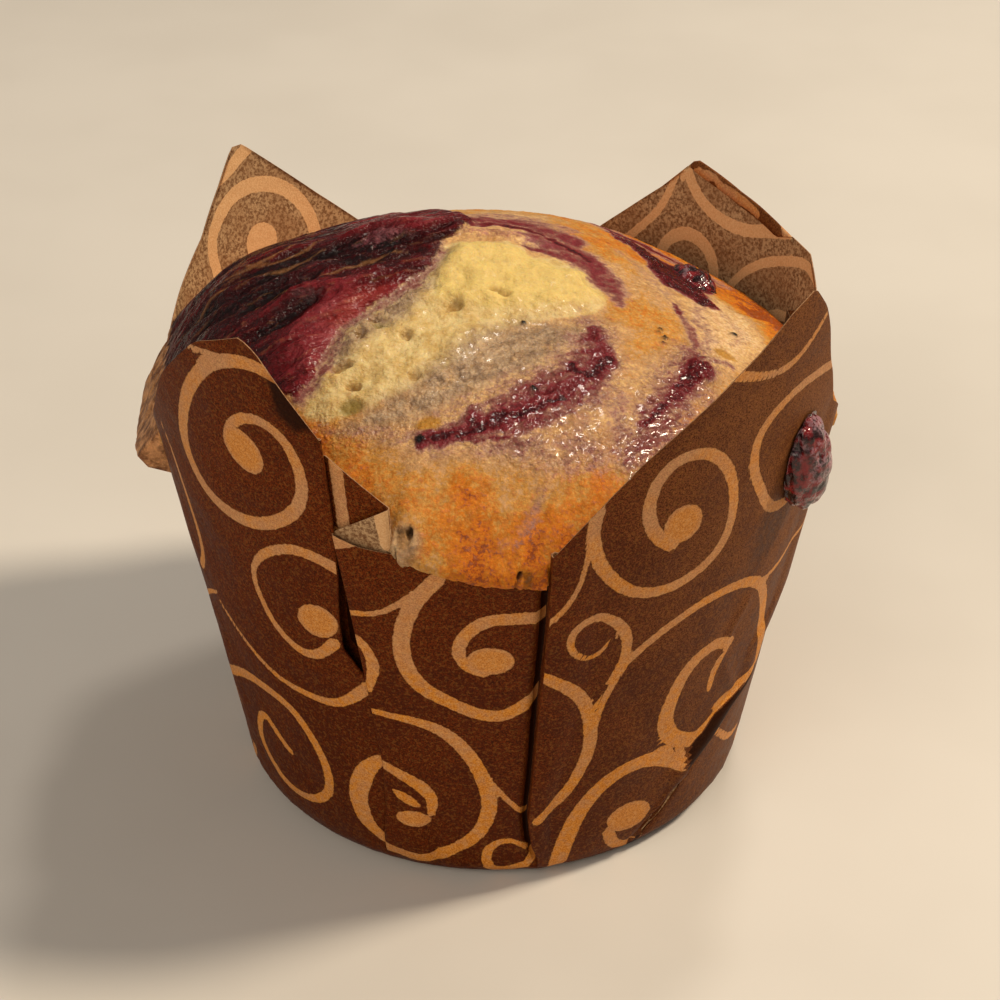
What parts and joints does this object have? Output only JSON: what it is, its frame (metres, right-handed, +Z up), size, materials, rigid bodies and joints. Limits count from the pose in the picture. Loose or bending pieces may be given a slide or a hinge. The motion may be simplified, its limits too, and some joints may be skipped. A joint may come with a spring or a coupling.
{
  "type": "muffin",
  "caption": "Berry swirl muffin with a domed, torn and jam-streaked top, baked in a tulip wrap of dark printed paper with pointed corners.",
  "frame": {"origin": "middle of the wrap's flat base, on the surface that the muffin stands on", "axes": "+Z up, -Y towards the front, where the low edge of the wrap shows the cake's lip, +X to the right"},
  "size_m": [0.0773, 0.076, 0.0736],
  "materials": {
    "printed_paper": "dark brown greaseproof paper with tan printed swirls, matt, darker where grease has soaked in",
    "baked_cake": "golden crust, pale yellow crumb and wet dark berry swirl",
    "cooked_berry": "dark wet berry with a dull, sugared skin in places"
  },
  "bodies": {
    "root": {"paper_wrap": "printed_paper", "cake": "baked_cake", "berry_side": "cooked_berry", "berry_rim": "cooked_berry"}
  },
  "joints": []
}
